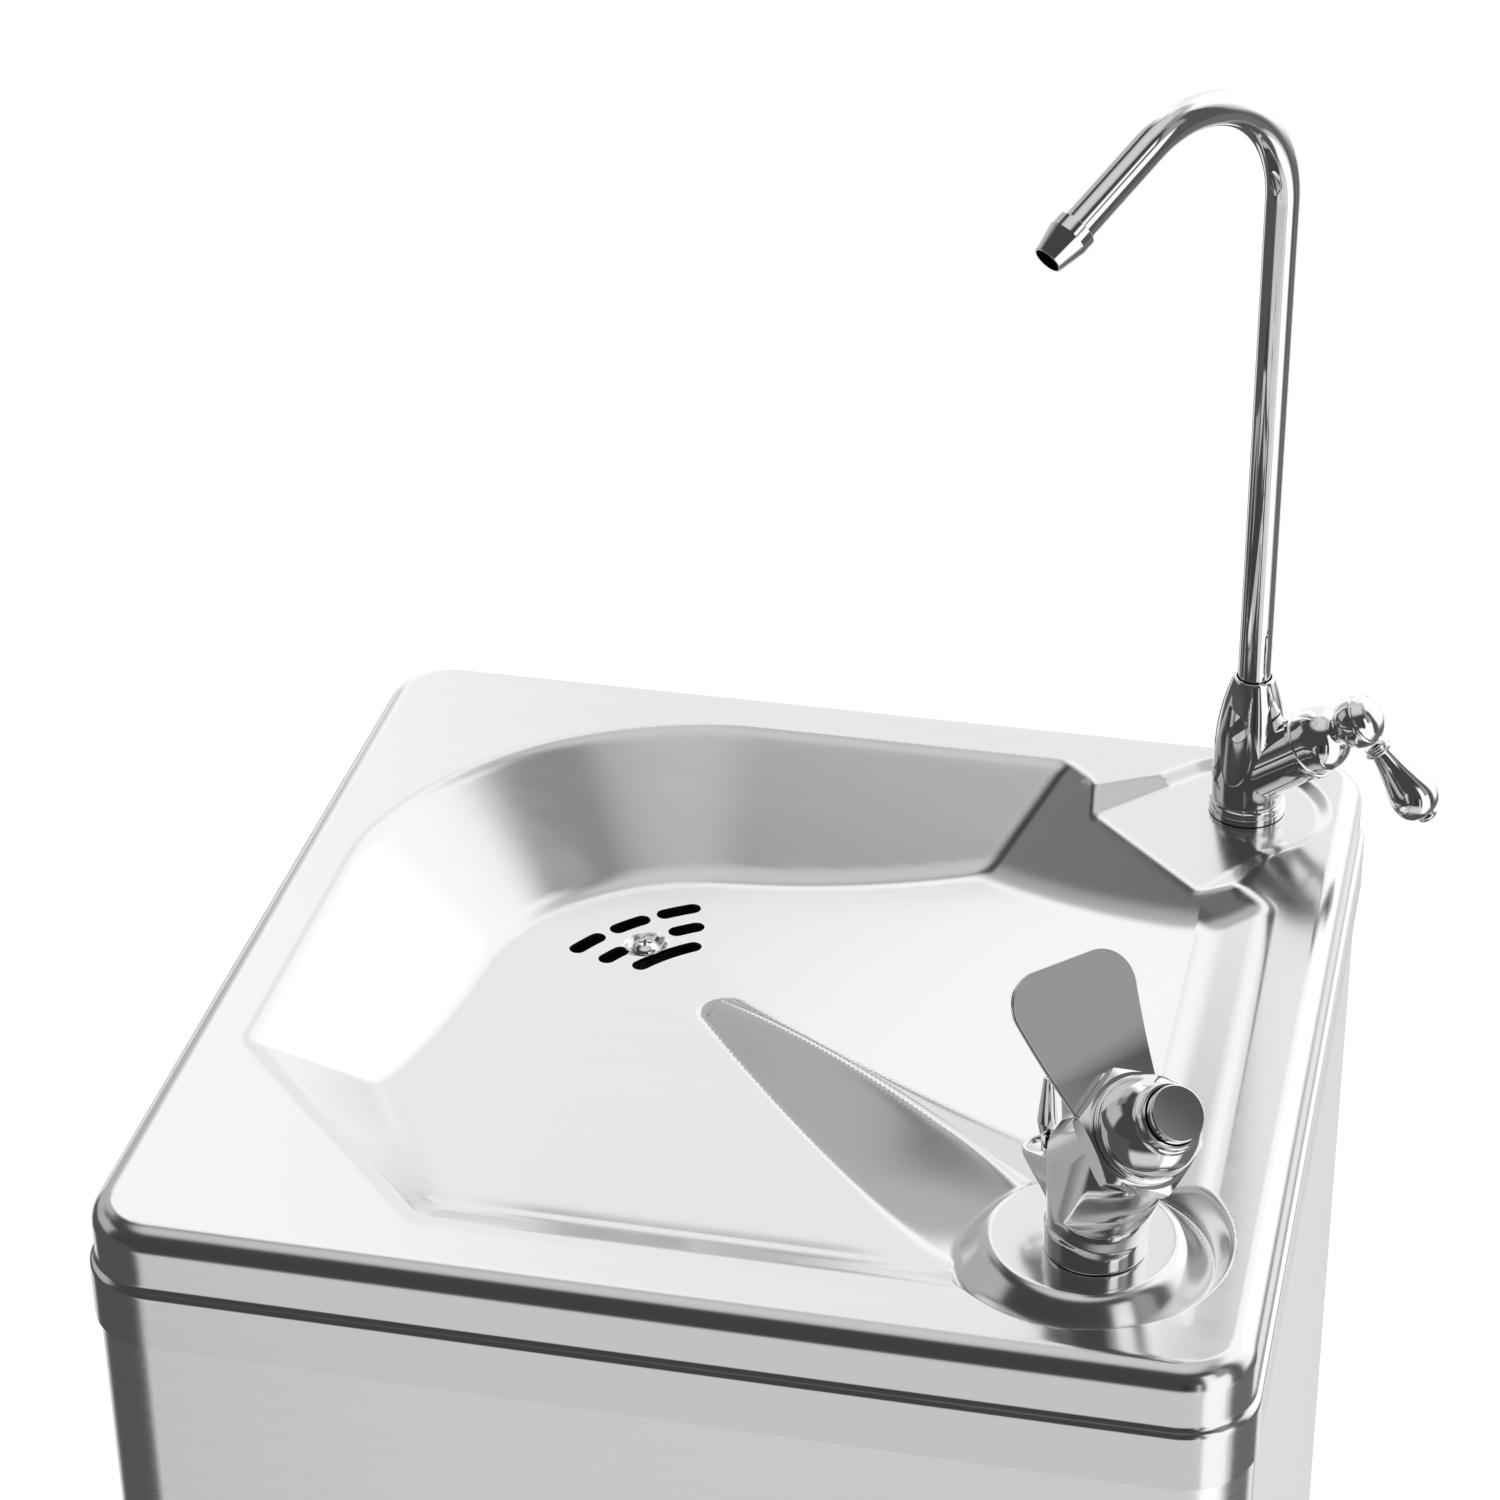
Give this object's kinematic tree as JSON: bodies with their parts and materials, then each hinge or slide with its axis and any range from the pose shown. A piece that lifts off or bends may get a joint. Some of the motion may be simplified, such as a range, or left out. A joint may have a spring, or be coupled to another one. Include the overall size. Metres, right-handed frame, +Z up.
{
  "type": "drinking fountain",
  "caption": "Free-standing drinking fountain: pressed steel basin top with a push-button bubbler and a swan-neck bottle filler with lever valve, on a cooled cabinet.",
  "frame": {"origin": "on the floor, in the middle of the fountain's bounding box seen from above", "axes": "+Z up, +X to the user's right, +Y to the back, so the front panel faces -Y; the deck lies at z = 0.960"},
  "size_m": [0.3534, 0.3388, 1.2111],
  "materials": {
    "satin_steel": "satin, even",
    "brushed_steel": "fine horizontal grain",
    "chrome": "polished",
    "copper": "copper tube, dull",
    "brass": "machined",
    "rubber": "matt black",
    "black_paint": "satin black",
    "foam": "closed-cell foam",
    "grey_plastic": "matt grey",
    "white_plastic": "off-white",
    "zinc": "zinc plated"
  },
  "bodies": {
    "cabinet": {"back_panel": "brushed_steel", "back_screw_1": "chrome", "back_screw_2": "chrome", "back_screw_3": "chrome", "back_screw_4": "chrome", "base_plate": "zinc", "basin_top": "satin_steel", "bubbler_body": "chrome", "bubbler_gasket": "rubber", "bubbler_locknut": "brass", "bubbler_nut": "chrome", "button_bonnet": "chrome", "button_spring": "zinc", "cold_tank": "satin_steel", "compressor": "black_paint", "compressor_mount_1": "rubber", "compressor_mount_2": "rubber", "compressor_mount_3": "rubber", "compressor_mount_4": "rubber", "condenser_coil": "copper", "condenser_fins": "zinc", "drain_gasket": "rubber", "drain_screw": "chrome", "evaporator_coil": "copper", "fan_motor": "black_paint", "fan_shroud": "black_paint", "faucet_body": "chrome", "faucet_gasket": "rubber", "faucet_locknut": "brass", "filter_drier": "copper", "foot_back_left": "rubber", "foot_back_right": "rubber", "foot_front_left": "rubber", "foot_front_right": "rubber", "front_panel": "brushed_steel", "inlet_fitting": "brass", "inlet_tube": "white_plastic", "jet_nozzle": "chrome", "left_panel": "brushed_steel", "mouth_guard": "chrome", "power_inlet": "black_paint", "right_panel": "brushed_steel", "supply_tube_bubbler": "white_plastic", "supply_tube_filler": "white_plastic", "tank_insulation": "foam", "tank_shelf": "zinc", "thermostat": "white_plastic", "valve_bonnet": "chrome", "waste_cup": "grey_plastic", "waste_outlet": "grey_plastic", "waste_pipe": "grey_plastic"},
    "button": {"push_button": "chrome"},
    "spout": {"spout_tube": "chrome", "spout_tip": "chrome"},
    "lever": {"lever_hub": "chrome", "lever_cap": "chrome", "lever_handle": "chrome"},
    "fan": {"fan_rotor": "black_paint"},
    "knob": {"thermostat_knob": "black_paint"}
  },
  "joints": [
    {"name": "button_press", "type": "slide", "parent": "cabinet", "child": "button", "axis": [-0.5, 0.5, -0.7071], "range_m": [0, 0.003], "stiffness_N_per_m": 800, "springref_m": -0.002},
    {"name": "spout_swivel", "type": "hinge", "parent": "cabinet", "child": "spout", "pos_m": [0.1161, 0.1206, 1.0065], "axis": [0, 0, 1], "range_deg": [-120, 120]},
    {"name": "lever_turn", "type": "hinge", "parent": "cabinet", "child": "lever", "pos_m": [0.1161, 0.1206, 0.971], "axis": [0.753, -0.209, 0.624], "range_deg": [-90, 0]},
    {"name": "fan_spin", "type": "hinge", "parent": "cabinet", "child": "fan", "pos_m": [-0.0117, 0.0606, 0.29], "axis": [0, 1, 0], "continuous": true},
    {"name": "thermostat_turn", "type": "hinge", "parent": "cabinet", "child": "knob", "pos_m": [0.0483, 0.157, 0.62], "axis": [0, 1, 0], "range_deg": [-135, 135]}
  ]
}
